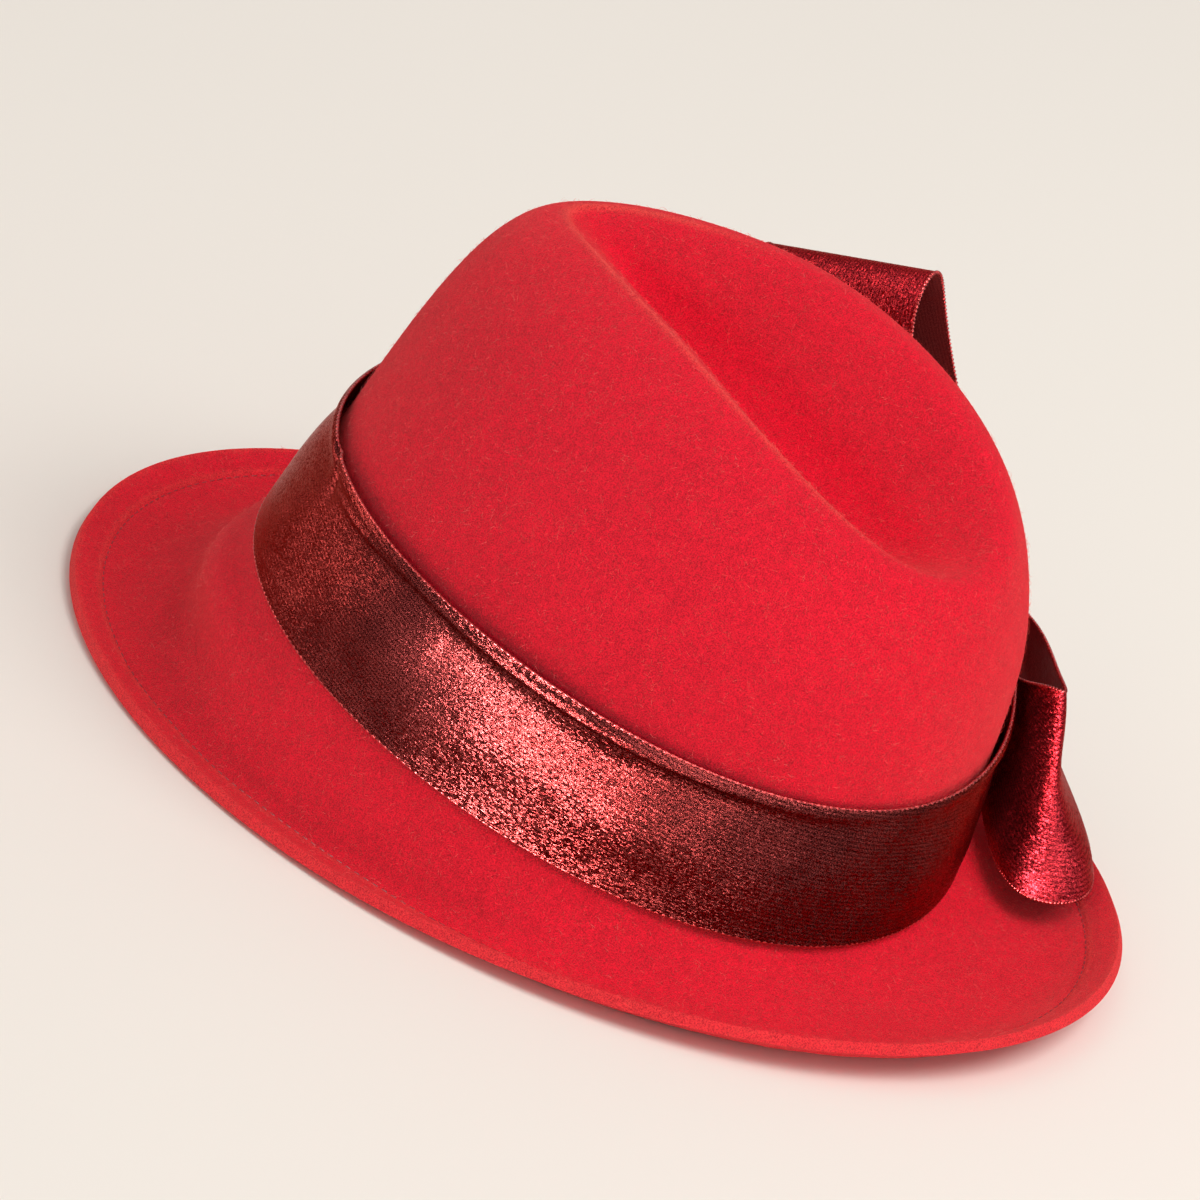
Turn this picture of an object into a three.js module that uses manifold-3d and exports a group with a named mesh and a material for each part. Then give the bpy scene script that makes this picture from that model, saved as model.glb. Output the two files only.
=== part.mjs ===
// Felt fedora with a wide ribbon band and a two-loop ribbon bow.
// Millimetres, +Z up. The hat stands on its brim on the plane Z = 0.
// The front of the hat faces -Y, and +X is the wearer's left.

import * as THREE from 'three';
import { mergeVertices } from 'three/addons/utils/BufferGeometryUtils.js';
import Module from 'manifold-3d';

// Driving dimensions
const feltThickness = 2.0;
const bandThickness = 1.2;
const loopThickness = 1.0;
const clearance = 0.35;
const floorHeight = 0;

// Finger pinch on each side of the crown front, as a direction round the hat and a spread
const pinchAngle = THREE.MathUtils.degToRad(-52);
const pinchSpread = THREE.MathUtils.degToRad(26);

// Mesh fineness
const hatSteps = 56;
const feltStepsPerSection = 2;
const bandStepsPerSection = 1;
const loopStepsPerStation = 3;
const loopStepsAcross = 3;
const normalStep = 1e-3;

// Hoops that the felt is drawn over, from the brim edge to the bottom of the dent.
// half is the half width, front and back are the reaches along Y, zFront, zSide and zBack
// are the heights, taper narrows the front, and pinch is the depth of the finger pinch.
const hoopColumns = ['half', 'front', 'back', 'zFront', 'zSide', 'zBack', 'taper', 'pinch'];
const feltTable = [
  // brim
  { name: 'brim edge', row: [115, 150, 150, 6.0, 4.0, 12.0, 0, 0] },
  { name: 'hem', row: [110.5, 141.5, 142.5, 2.6, 2.0, 5.6, 0, 0] },
  { name: 'outer seat', row: [107, 133.5, 134.5, 1.6, 1.6, 1.4, 0, 0] },
  { name: 'inner seat', row: [103, 124.5, 123.5, 1.4, 2.6, 1.0, 0, 0] },
  { name: 'slope', row: [97, 111.5, 110.5, 15, 14, 1.6, 0, 0] },
  { name: 'break', row: [91.5, 100, 100, 33.5, 24.5, 4.5, 0, 0] },
  // crown wall
  { name: 'crown base', row: [88.6, 97.3, 97.8, 36, 27.5, 6.5, 0, 0] },
  { name: 'low wall', row: [88, 91.5, 98, 48, 39, 17, 0, 0] },
  { name: 'band top', row: [86, 83, 98.7, 76, 66, 43, 0, 0] },
  { name: 'mid wall', row: [78, 77.5, 100, 98, 90, 68, 0.05, 0.05] },
  { name: 'high wall', row: [66, 72, 97, 115, 111, 88, 0.07, 0.08] },
  { name: 'shoulder', row: [51, 65, 94, 127, 127, 99, 0.12, 0.05] },
  // tear-shaped dent
  { name: 'ridge', row: [36.5, 54.5, 90, 135, 136, 106, 0.27, 0] },
  { name: 'dent wall', row: [24, 38.5, 73.5, 128, 126, 99, 0.3, 0] },
  { name: 'dent floor', row: [12, 22.5, 51.5, 117, 112.5, 94, 0.3, 0] },
  { name: 'dent middle', row: [3, 2.5, 21.5, 111.5, 108.5, 104.5, 0, 0] },
];

// Hoops of the ribbon band's outer face, from its lower edge to its rolled top edge
const bandTable = [
  { name: 'lower edge', row: [91.4, 100.2, 100.3, 36.2, 27.2, 7.6, 0, 0] },
  { name: 'low face', row: [91.1, 98, 100.6, 45, 37.5, 17, 0, 0] },
  { name: 'middle face', row: [90.6, 93, 101, 55.5, 49, 27.5, 0, 0] },
  { name: 'high face', row: [89.8, 88, 101.2, 65.5, 60, 38, 0, 0] },
  { name: 'crease', row: [88.6, 85.8, 100.8, 70.5, 64.6, 42.8, 0, 0] },
  { name: 'roll', row: [90.2, 86.8, 101.9, 73.2, 67.2, 45.8, 0, 0] },
  { name: 'top edge', row: [88.9, 85.4, 101, 74.6, 68.9, 47.4, 0, 0] },
];

// Ribbon loops, one row for each station along the ribbon: two opposite edge points
const stationColumns = ['ax', 'ay', 'az', 'bx', 'by', 'bz'];

// The loop that stands up beside the crown: a is the rear edge and b the front edge
const upperLoopTable = [
  { name: 'inner end', row: [-92, 34, 50, -93, 20, 52] },
  { name: 'inner rise', row: [-92, 25, 76, -93, -11, 76] },
  { name: 'inner top', row: [-78.5, 4, 104, -82, -46, 92] },
  { name: 'fold inside', row: [-82, 1, 125.5, -83, -50, 107] },
  { name: 'fold outside', row: [-94.5, -2, 126, -94.5, -53, 107] },
  { name: 'outer top', row: [-100, 0, 109, -100, -47, 93] },
  { name: 'outer rise', row: [-102, 19, 80, -103, -17, 76] },
  { name: 'outer end', row: [-100, 36, 50, -101, 20, 52] },
];

// The loop that lies back along the band: a is the lower edge and b the upper edge
const lowerLoopTable = [
  { name: 'inner end', row: [-93, 34, 38, -92, 33, 52] },
  { name: 'inner side', row: [-80, 62, 19, -80, 58, 56] },
  { name: 'inner flare', row: [-56, 88, 10, -68, 73, 55] },
  { name: 'fold flank', row: [-45, 108, 9, -60, 86, 58] },
  { name: 'fold', row: [-63, 118, 10, -61, 93.5, 58] },
  { name: 'outer flare', row: [-82, 101, 12, -75, 79.5, 54] },
  { name: 'outer side', row: [-96, 72, 20, -90, 62, 56] },
  { name: 'outer end', row: [-102, 34, 38, -101, 33, 52] },
];

// The knot that gathers the loops
const knotCentre = new THREE.Vector3(-96.4, 27, 45);
const knotHalf = new THREE.Vector3(8.2, 12, 17);
const knotTurn = THREE.MathUtils.degToRad(-16);
const knotSquareness = 0.62;
const knotStepsAround = 20;
const knotStepsHigh = 12;

// Materials
const feltMaterial = new THREE.MeshStandardMaterial({ color: 0xd2182a, roughness: 0.95, metalness: 0 });
const bandMaterial = new THREE.MeshStandardMaterial({ color: 0x6e0f18, roughness: 0.38, metalness: 0.35 });
const loopMaterial = new THREE.MeshStandardMaterial({ color: 0x8a1420, roughness: 0.3, metalness: 0.35 });

// Turns a table of rows into sections with named columns.
function sectionsFrom(table, columns) {
  return table.map(({ row }) => Object.fromEntries(columns.map((column, k) => [column, row[k]])));
}

// Blends sections with a uniform cubic B-spline that starts and ends on the end sections.
function blend(sections, columns, v) {
  const last = sections.length - 1;
  const i = Math.min(Math.max(Math.floor(v), 0), last - 1);
  const u = v - i;
  const weights = [
    (1 - u) ** 3 / 6,
    (3 * u ** 3 - 6 * u ** 2 + 4) / 6,
    (-3 * u ** 3 + 3 * u ** 2 + 3 * u + 1) / 6,
    u ** 3 / 6,
  ];
  const value = (k, column) => {
    if (k < 0) return 2 * sections[0][column] - sections[1][column];
    if (k > last) return 2 * sections[last][column] - sections[last - 1][column];
    return sections[k][column];
  };
  const sum = (column) => weights.reduce((total, w, k) => total + w * value(i - 1 + k, column), 0);
  return Object.fromEntries(columns.map((column) => [column, sum(column)]));
}

// A soft bump round one direction.
function dimple(angle, centre) {
  const turn = 2 * Math.PI;
  const away = ((angle - centre + Math.PI) % turn + turn) % turn - Math.PI;
  return Math.exp(-((away / pinchSpread) ** 2));
}

// The point of a hoop at an angle, where 0 is the wearer's left and 90 degrees is the back.
function hoopPoint(hoop, angle) {
  const s = Math.sin(angle);
  const pinch = hoop.pinch * (dimple(angle, pinchAngle) + dimple(angle, Math.PI - pinchAngle));
  const x = hoop.half * Math.cos(angle) * (1 + hoop.taper * s) * (1 - pinch);
  const y = (hoop.back - hoop.front) / 2 + ((hoop.back + hoop.front) / 2) * s;
  const rise = ((hoop.zBack - hoop.zFront) / 2) * s;
  const bow = ((hoop.zBack + hoop.zFront) / 2 - hoop.zSide) * s * s;
  return new THREE.Vector3(x, y, hoop.zSide + rise + bow);
}

// The outward normal of a surface given as a function of two parameters.
function surfaceNormal(surface, a, b) {
  const along = surface(a + normalStep, b).sub(surface(a - normalStep, b));
  const across = surface(a, b + normalStep).sub(surface(a, b - normalStep));
  return along.cross(across).normalize();
}

// Makes a geometry from points and triangles.
function geometryFrom(points, triangles) {
  const geometry = new THREE.BufferGeometry();
  const flat = points.flatMap((point) => [point.x, point.y, point.z]);
  geometry.setAttribute('position', new THREE.Float32BufferAttribute(flat, 3));
  geometry.setIndex(triangles);
  geometry.computeVertexNormals();
  return geometry;
}

// A closed wall round the hat. Its outer face follows the hoops, and its inner face lies
// one thickness inside. closedTop ends the wall in a point, as the crown does.
function hatWall(sections, stepsPerSection, thickness, lift, closedTop) {
  const last = sections.length - 1;
  const rings = last * stepsPerSection + 1;
  const surface = (angle, v) => {
    const held = Math.min(Math.max(v, 0), last);
    return hoopPoint(blend(sections, hoopColumns, held), angle);
  };
  const outer = [];
  const inner = [];
  for (let j = 0; j < rings; j += 1) {
    const v = j / stepsPerSection;
    for (let i = 0; i < hatSteps; i += 1) {
      const angle = (i / hatSteps) * 2 * Math.PI;
      const point = surface(angle, v);
      const normal = surfaceNormal(surface, angle, v);
      outer.push(point.clone().addScaledVector(normal, lift));
      const under = point.clone().addScaledVector(normal, -thickness);
      under.z = Math.max(under.z, floorHeight);
      inner.push(under);
    }
  }
  const points = [...outer, ...inner];
  const innerStart = outer.length;
  const at = (i, j) => j * hatSteps + (i % hatSteps);
  const triangles = [];
  for (let j = 0; j < rings - 1; j += 1) {
    for (let i = 0; i < hatSteps; i += 1) {
      const quad = [at(i, j), at(i + 1, j), at(i + 1, j + 1), at(i, j + 1)];
      triangles.push(quad[0], quad[1], quad[2], quad[0], quad[2], quad[3]);
      const [a, b, c, d] = quad.map((k) => k + innerStart);
      triangles.push(a, c, b, a, d, c);
    }
  }
  const edge = (p, q) => triangles.push(q, p, p + innerStart, q, p + innerStart, q + innerStart);
  for (let i = 0; i < hatSteps; i += 1) {
    edge(at(i, 0), at(i + 1, 0));
    if (!closedTop) edge(at(i + 1, rings - 1), at(i, rings - 1));
  }
  if (closedTop) {
    const middle = (start) => {
      const sum = new THREE.Vector3();
      for (let i = 0; i < hatSteps; i += 1) sum.add(points[start + at(i, rings - 1)]);
      return sum.divideScalar(hatSteps);
    };
    const outerTop = points.push(middle(0)) - 1;
    const innerTop = points.push(middle(innerStart)) - 1;
    for (let i = 0; i < hatSteps; i += 1) {
      const p = at(i, rings - 1);
      const q = at(i + 1, rings - 1);
      triangles.push(p, q, outerTop);
      triangles.push(q + innerStart, p + innerStart, innerTop);
    }
  }
  return geometryFrom(points, triangles);
}

// A closed strip of ribbon through a table of stations.
function ribbonStrip(table, thickness) {
  const sections = sectionsFrom(table, stationColumns);
  const last = sections.length - 1;
  const long = last * loopStepsPerStation + 1;
  const wide = loopStepsAcross + 1;
  const surface = (v, q) => {
    const held = Math.min(Math.max(v, 0), last);
    const station = blend(sections, stationColumns, held);
    const a = new THREE.Vector3(station.ax, station.ay, station.az);
    const b = new THREE.Vector3(station.bx, station.by, station.bz);
    return a.lerp(b, q);
  };
  const face = [];
  const back = [];
  for (let j = 0; j < wide; j += 1) {
    for (let i = 0; i < long; i += 1) {
      const v = i / loopStepsPerStation;
      const q = j / loopStepsAcross;
      const point = surface(v, q);
      const normal = surfaceNormal(surface, v, q);
      face.push(point.clone().addScaledVector(normal, thickness / 2));
      back.push(point.clone().addScaledVector(normal, -thickness / 2));
    }
  }
  const points = [...face, ...back];
  const backStart = face.length;
  const at = (i, j) => j * long + i;
  const triangles = [];
  for (let j = 0; j < wide - 1; j += 1) {
    for (let i = 0; i < long - 1; i += 1) {
      const quad = [at(i, j), at(i + 1, j), at(i + 1, j + 1), at(i, j + 1)];
      triangles.push(quad[0], quad[1], quad[2], quad[0], quad[2], quad[3]);
      const [a, b, c, d] = quad.map((k) => k + backStart);
      triangles.push(a, c, b, a, d, c);
    }
  }
  const border = [];
  for (let i = 0; i < long - 1; i += 1) border.push(at(i, 0));
  for (let j = 0; j < wide - 1; j += 1) border.push(at(long - 1, j));
  for (let i = long - 1; i > 0; i -= 1) border.push(at(i, wide - 1));
  for (let j = wide - 1; j > 0; j -= 1) border.push(at(0, j));
  border.forEach((p, k) => {
    const q = border[(k + 1) % border.length];
    triangles.push(q, p, p + backStart, q, p + backStart, q + backStart);
  });
  return geometryFrom(points, triangles);
}

// The knot: a soft upright pillow. grow makes it larger all round.
function knotPillow(grow) {
  const geometry = new THREE.SphereGeometry(1, knotStepsAround, knotStepsHigh);
  const position = geometry.getAttribute('position');
  const square = (value) => Math.sign(value) * Math.abs(value) ** knotSquareness;
  for (let i = 0; i < position.count; i += 1) {
    const x = square(position.getX(i)) * (knotHalf.x + grow);
    const y = square(position.getZ(i)) * (knotHalf.y + grow);
    const z = square(position.getY(i)) * (knotHalf.z + grow);
    position.setXYZ(i, -x, y, z);
  }
  geometry.rotateZ(knotTurn);
  geometry.translate(knotCentre.x, knotCentre.y, knotCentre.z);
  return geometry;
}

const wasm = await Module();
wasm.setup();

// Turns a closed geometry into a solid that can be cut.
function solidFrom(geometry) {
  const plain = geometry.clone();
  plain.deleteAttribute('normal');
  plain.deleteAttribute('uv');
  const merged = mergeVertices(plain, 1e-4);
  const vertProperties = new Float32Array(merged.getAttribute('position').array);
  const triVerts = new Uint32Array(merged.getIndex().array);
  return new wasm.Manifold(new wasm.Mesh({ numProp: 3, vertProperties, triVerts }));
}

// Turns a solid back into a geometry.
function geometryOf(solid) {
  const mesh = solid.getMesh();
  const geometry = new THREE.BufferGeometry();
  geometry.setAttribute('position', new THREE.BufferAttribute(mesh.vertProperties, 3));
  geometry.setIndex(new THREE.BufferAttribute(mesh.triVerts, 1));
  geometry.computeVertexNormals();
  return geometry;
}

// Names a geometry and gives it a material.
function piece(name, geometry, material) {
  const mesh = new THREE.Mesh(geometry, material);
  mesh.name = name;
  return mesh;
}

const feltSections = sectionsFrom(feltTable, hoopColumns);
const bandSections = sectionsFrom(bandTable, hoopColumns);
const felt = hatWall(feltSections, feltStepsPerSection, feltThickness, 0, true);
const band = hatWall(bandSections, bandStepsPerSection, bandThickness, 0, false);
const bandRoom = hatWall(bandSections, bandStepsPerSection, bandThickness, clearance, false);

const knotRoom = solidFrom(knotPillow(clearance));
const knot = solidFrom(knotPillow(0)).subtract(solidFrom(bandRoom));
const upperLoop = solidFrom(ribbonStrip(upperLoopTable, loopThickness)).subtract(knotRoom);
const lowerLoop = solidFrom(ribbonStrip(lowerLoopTable, loopThickness)).subtract(knotRoom);

const fedora = new THREE.Group();
fedora.add(piece('felt_body', felt, feltMaterial));
fedora.add(piece('ribbon_band', band, bandMaterial));

const bow = new THREE.Group();
bow.add(piece('bow_loop_upper', geometryOf(upperLoop), loopMaterial));
bow.add(piece('bow_loop_lower', geometryOf(lowerLoop), loopMaterial));
bow.add(piece('bow_knot', geometryOf(knot), loopMaterial));
fedora.add(bow);

export default fedora;
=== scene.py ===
"""A red felt fedora with a satin ribbon band and bow: visual model, finishes, light and camera."""

import logging
import math
from dataclasses import dataclass, field
from enum import Enum
from typing import Callable, Mapping, Sequence

import bpy
import numpy as np
from mathutils import Matrix, Vector


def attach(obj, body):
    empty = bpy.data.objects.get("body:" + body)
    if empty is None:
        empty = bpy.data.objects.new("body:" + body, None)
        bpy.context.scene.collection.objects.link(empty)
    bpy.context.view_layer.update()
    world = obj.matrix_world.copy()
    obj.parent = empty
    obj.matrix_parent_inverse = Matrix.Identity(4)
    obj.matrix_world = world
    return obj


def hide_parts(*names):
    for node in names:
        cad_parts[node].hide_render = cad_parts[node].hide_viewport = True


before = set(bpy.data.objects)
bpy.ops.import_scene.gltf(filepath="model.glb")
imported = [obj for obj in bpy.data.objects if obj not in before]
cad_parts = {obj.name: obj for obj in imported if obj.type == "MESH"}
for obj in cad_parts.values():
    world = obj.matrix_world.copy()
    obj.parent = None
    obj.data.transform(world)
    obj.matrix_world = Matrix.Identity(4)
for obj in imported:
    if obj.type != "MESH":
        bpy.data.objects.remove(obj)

log = logging.getLogger("fedora")

MM = 0.001
MERGE_DISTANCE = 0.001 * MM
FULL_TURN = 2 * math.pi
Array = np.ndarray
Piece = bpy.types.Object
Colour = tuple[float, float, float]
Row = tuple[float, ...]


class Slot(Enum):
    """Material slots of the part's record."""

    FELT = "felt"
    BAND = "band_ribbon"
    BOW = "bow_ribbon"


class Reach(Enum):
    """What a light brightens."""

    ALL = "all"
    GLOSS = "gloss"


def select_only(piece: Piece) -> None:
    """Select one object and make it active.

    Args:
        piece: The object that the next operators work on.
    """
    bpy.ops.object.select_all(action="DESELECT")
    piece.select_set(True)
    bpy.context.view_layer.objects.active = piece


def edit_whole(piece: Piece, operator: Callable[..., object], **settings: object) -> None:
    """Run a mesh operator on the whole of a piece.

    Args:
        piece: The object it works on.
        operator: An edit-mode operator.
        settings: The operator's settings.
    """
    select_only(piece)
    bpy.ops.object.mode_set(mode="EDIT")
    bpy.ops.mesh.select_all(action="SELECT")
    operator(**settings)
    bpy.ops.object.mode_set(mode="OBJECT")


def primitive(operator: Callable[..., object], name: str, **settings: object) -> Piece:
    """Add one of Blender's own shapes.

    Args:
        operator: The primitive's operator.
        name: The new object's name.
        settings: The operator's settings.

    Returns:
        The new object, which is the active one.
    """
    bpy.ops.object.select_all(action="DESELECT")
    operator(**settings)
    piece = bpy.context.object
    piece.name = name
    return piece


def mesh_piece(name: str, points: Array, faces: Sequence[Sequence[int]]) -> Piece:
    """Make an object of bare points and faces.

    Args:
        name: The piece's name.
        points: N by 3, in metres.
        faces: The point numbers of each face.

    Returns:
        The new object.
    """
    mesh = bpy.data.meshes.new(name)
    mesh.from_pydata(points.tolist(), [], faces)
    mesh.update()
    piece = bpy.data.objects.new(name, mesh)
    bpy.context.scene.collection.objects.link(piece)
    return piece


def smooth_step(low: float, high: float, value: Array) -> Array:
    """Rise from 0 to 1 with soft ends.

    Args:
        low: Where the rise starts.
        high: Where the rise ends.
        value: What is compared.

    Returns:
        The eased values.
    """
    t = np.clip((value - low) / (high - low), 0.0, 1.0)
    return t * t * (3 - 2 * t)


def bump_at(value: Array, centre: float, spread: float) -> Array:
    """Return a soft bump of height 1.

    Args:
        value: What is compared.
        centre: Where the bump stands.
        spread: Its half width, in the units of value.

    Returns:
        The bump's height at each value.
    """
    return np.exp(-(((value - centre) / spread) ** 2))


def angle_bump(angle: Array, centre: float, spread: float) -> Array:
    """Return a soft bump round one direction.

    Args:
        angle: Directions in radians.
        centre: The bump's direction in degrees.
        spread: Its half width in degrees.

    Returns:
        The bump's height at each direction.
    """
    away = (angle - math.radians(centre) + math.pi) % FULL_TURN - math.pi
    return np.exp(-((away / math.radians(spread)) ** 2))


@dataclass(frozen=True)
class Dent:
    """A soft rise, or a dent where the height is negative, at one place of a surface of hoops."""

    height: float
    station: float
    station_spread: float
    angle: float
    angle_spread: float

    def at(self, stations: Array, angles: Array) -> Array:
        """Return the height at each place.

        Args:
            stations: Places from hoop to hoop.
            angles: Directions round the hat, in radians.

        Returns:
            The height, in metres.
        """
        level = bump_at(stations, self.station, self.station_spread)
        return self.height * level * angle_bump(angles, self.angle, self.angle_spread)


def blend_rows(rows: Array, stations: Array) -> Array:
    """Blend rows with a uniform cubic B-spline that starts and ends on the end rows.

    Args:
        rows: One control row after another.
        stations: Places along the rows, counted in rows from the first.

    Returns:
        The blended row at each station.
    """
    held = np.vstack([2 * rows[0] - rows[1], rows, 2 * rows[-1] - rows[-2]])
    index = np.clip(np.floor(stations).astype(int), 0, len(rows) - 2)
    t = (stations - index)[:, None]
    weights = (
        (1 - t) ** 3 / 6,
        (3 * t**3 - 6 * t**2 + 4) / 6,
        (-3 * t**3 + 3 * t**2 + 3 * t + 1) / 6,
        t**3 / 6,
    )
    return sum(weight * held[index + k] for k, weight in enumerate(weights))


@dataclass(frozen=True)
class Hoops:
    """Hoops round the hat, each a row of half, front, back, zFront, zSide, zBack, taper, pinch."""

    rows: tuple[Row, ...]
    pinch_angle: float = -52.0
    pinch_spread: float = 26.0

    def points(self, stations: Array, angles: Array) -> Array:
        """Return points on the blended hoops.

        Args:
            stations: Places from hoop to hoop.
            angles: Directions round the hat, 0 at the wearer's left and 90 degrees at the back.

        Returns:
            An array of stations by angles by 3, in metres.
        """
        blended = blend_rows(np.array(self.rows, dtype=float), stations)
        half, front, back, z_front, z_side, z_back, taper, pinch = (c[:, None] for c in blended.T)
        s = np.sin(angles)[None, :]
        dents = angle_bump(angles, self.pinch_angle, self.pinch_spread)
        dents = dents + angle_bump(angles, 180 - self.pinch_angle, self.pinch_spread)
        x = half * np.cos(angles)[None, :] * (1 + taper * s) * (1 - pinch * dents[None, :])
        y = (back - front) / 2 + (back + front) / 2 * s
        z = z_side + (z_back - z_front) / 2 * s + ((z_back + z_front) / 2 - z_side) * s * s
        return np.stack([x, y, z], axis=-1) * MM


def grid_normals(points: Array, closed: bool) -> Array:
    """Return the unit normals of a grid of points.

    Args:
        points: Rows by columns by 3. The normal is the column direction crossed with the row one.
        closed: Whether the last column meets the first.

    Returns:
        One unit normal for each point.
    """
    if closed:
        ring = points[:, :-1]
        along = np.roll(ring, -1, axis=1) - np.roll(ring, 1, axis=1)
        along = np.concatenate([along, along[:, :1]], axis=1)
    else:
        along = np.gradient(points, axis=1)
    across = np.gradient(points, axis=0)
    normal = np.cross(along, across)
    return normal / np.maximum(np.linalg.norm(normal, axis=-1, keepdims=True), 1e-12)


def run_lengths(points: Array, axis: int) -> Array:
    """Return the distance run along a grid of points.

    Args:
        points: Rows by columns by 3.
        axis: 0 to run down the rows, 1 to run along the columns.

    Returns:
        The distance from the grid's start, for each point.
    """
    steps = np.linalg.norm(np.diff(points, axis=axis), axis=-1)
    total = np.cumsum(steps, axis=axis)
    start = np.zeros_like(np.take(total, [0], axis=axis))
    return np.concatenate([start, total], axis=axis)


def vertices_of(piece: Piece) -> Array:
    """Return a piece's vertices as an array of N by 3."""
    flat = np.empty(len(piece.data.vertices) * 3)
    piece.data.vertices.foreach_get("co", flat)
    return flat.reshape(-1, 3)


def lay_cloth(piece: Piece, flat: Array) -> None:
    """Give a piece the flat coordinates of its cloth.

    Args:
        piece: A piece with a UV layer.
        flat: N by 2, in metres, one for each vertex.
    """
    loops = np.empty(len(piece.data.loops), dtype=int)
    piece.data.loops.foreach_get("vertex_index", loops)
    piece.data.uv_layers.active.name = "cloth"
    piece.data.uv_layers.active.data.foreach_set("uv", flat[loops].ravel())


def grid_piece(
    name: str, points: Array, uv: Array, masks: Mapping[str, Array] | None = None
) -> Piece:
    """Lay a grid primitive over rows of points and merge it where it meets itself.

    Args:
        name: The piece's name.
        points: Rows by columns by 3, in metres.
        uv: Rows by columns by 2, the flat coordinates of each point.
        masks: Named values, rows by columns, kept as attributes for the finish.

    Returns:
        The new object, with its normals along columns crossed with rows.
    """
    rows, columns = points.shape[:2]
    counts = {"x_subdivisions": columns - 1, "y_subdivisions": rows - 1}
    piece = primitive(bpy.ops.mesh.primitive_grid_add, name, size=2, **counts)
    mesh = piece.data
    flat = vertices_of(piece)
    column = np.rint((flat[:, 0] + 1) / 2 * (columns - 1)).astype(int)
    row = np.rint((flat[:, 1] + 1) / 2 * (rows - 1)).astype(int)
    mesh.vertices.foreach_set("co", points[row, column].ravel())
    lay_cloth(piece, uv[row, column])
    for title, values in (masks or {}).items():
        layer = mesh.attributes.new(title, "FLOAT", "POINT")
        layer.data.foreach_set("value", values[row, column].astype(float))
    mesh.update()
    edit_whole(piece, bpy.ops.mesh.remove_doubles, threshold=MERGE_DISTANCE)
    return piece


def add_modifier(piece: Piece, kind: str, **settings: object) -> None:
    """Add a modifier and apply it.

    Args:
        piece: The object it works on.
        kind: Blender's name of the modifier type.
        settings: The modifier's settings.
    """
    modifier = piece.modifiers.new(kind.title(), kind)
    for key, value in settings.items():
        setattr(modifier, key, value)
    select_only(piece)
    bpy.ops.object.modifier_apply(modifier=modifier.name)


def thicken(piece: Piece, thickness: float, **settings: object) -> None:
    """Give a skin its thickness on its inner side.

    Args:
        piece: The open skin.
        thickness: In metres.
        settings: More settings of the Solidify modifier.
    """
    inward = {"thickness": thickness, "offset": -1.0, "use_even_offset": True}
    add_modifier(piece, "SOLIDIFY", **inward, **settings)


def smooth(piece: Piece, angle: float) -> None:
    """Shade smooth, with edges sharper than an angle kept.

    Args:
        piece: The object to shade.
        angle: In degrees.
    """
    select_only(piece)
    bpy.ops.object.shade_smooth_by_angle(angle=math.radians(angle))


def move_vertices(piece: Piece, points: Array) -> None:
    """Put a piece's vertices at new places."""
    piece.data.vertices.foreach_set("co", points.ravel())
    piece.data.update()


def keep_above_floor(piece: Piece) -> None:
    """Press the lowest vertices flat on the floor."""
    points = vertices_of(piece)
    points[:, 2] = np.maximum(points[:, 2], 0.0)
    move_vertices(piece, points)


def copies_of(name: str, unit: Piece, places: Sequence[Matrix]) -> Piece:
    """Make one piece of many copies of a small shape.

    Args:
        name: The new piece's name.
        unit: The small shape, which is removed.
        places: One placing matrix for each copy.

    Returns:
        The joined piece.
    """
    shape = vertices_of(unit)
    polygons = [list(p.vertices) for p in unit.data.polygons]
    turns = np.array([[list(r) for r in m] for m in places])
    points = np.einsum("nij,vj->nvi", turns[:, :3, :3], shape) + turns[:, None, :3, 3]
    count = len(shape)
    faces = [[v + k * count for v in p] for k in range(len(places)) for p in polygons]
    piece = mesh_piece(name, points.reshape(-1, 3), faces)
    bpy.data.objects.remove(unit)
    return piece


def ring_round(sides: int, aside: Array, over: Array) -> Array:
    """Return unit directions spread evenly round each of many axes.

    Args:
        sides: How many directions.
        aside: N by 3, one direction square to each axis.
        over: N by 3, the other direction square to it.

    Returns:
        An array of N by sides by 3.
    """
    turn = np.arange(sides)[None, :, None] / sides * FULL_TURN
    return np.cos(turn) * aside[:, None] + np.sin(turn) * over[:, None]


def tube_along(name: str, path: Array, radius: Array, sides: int, closed: bool) -> Piece:
    """Run a round tube along a path.

    Args:
        name: The piece's name.
        path: Points along the middle, N by 3.
        radius: The tube's radius at each point.
        sides: How many sides it has.
        closed: Whether the path ends where it starts. Its last point isn't repeated.

    Returns:
        The tube, closed on itself or with closed ends.
    """
    ahead = np.roll(path, -1, axis=0) - np.roll(path, 1, axis=0)
    if not closed:
        ahead[0], ahead[-1] = path[1] - path[0], path[-1] - path[-2]
    ahead /= np.linalg.norm(ahead, axis=1, keepdims=True)
    up = np.array([0.0, 0.0, 1.0])
    aside = np.cross(ahead, up)
    steep = np.linalg.norm(aside, axis=1) < 0.15
    aside[steep] = np.cross(ahead[steep], np.array([0.0, 1.0, 0.0]))
    aside /= np.linalg.norm(aside, axis=1, keepdims=True)
    for k in range(1, len(aside)):
        carried = aside[k - 1] - ahead[k] * float(aside[k - 1] @ ahead[k])
        aside[k] = carried / np.linalg.norm(carried)
    over = np.cross(aside, ahead)
    ring = ring_round(sides, aside, over)
    points = (path[:, None] + ring * radius[:, None, None]).reshape(-1, 3)
    rings = len(path)
    faces = []
    for j in range(rings if closed else rings - 1):
        this, following = j * sides, (j + 1) % rings * sides
        for i in range(sides):
            n = (i + 1) % sides
            faces.append([this + i, following + i, following + n, this + n])
    if not closed:
        faces.append(list(range(sides)))
        faces.append(list(range((rings - 1) * sides, rings * sides))[::-1])
    piece = mesh_piece(name, points, faces)
    edit_whole(piece, bpy.ops.mesh.normals_make_consistent, inside=False)
    return piece


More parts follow.
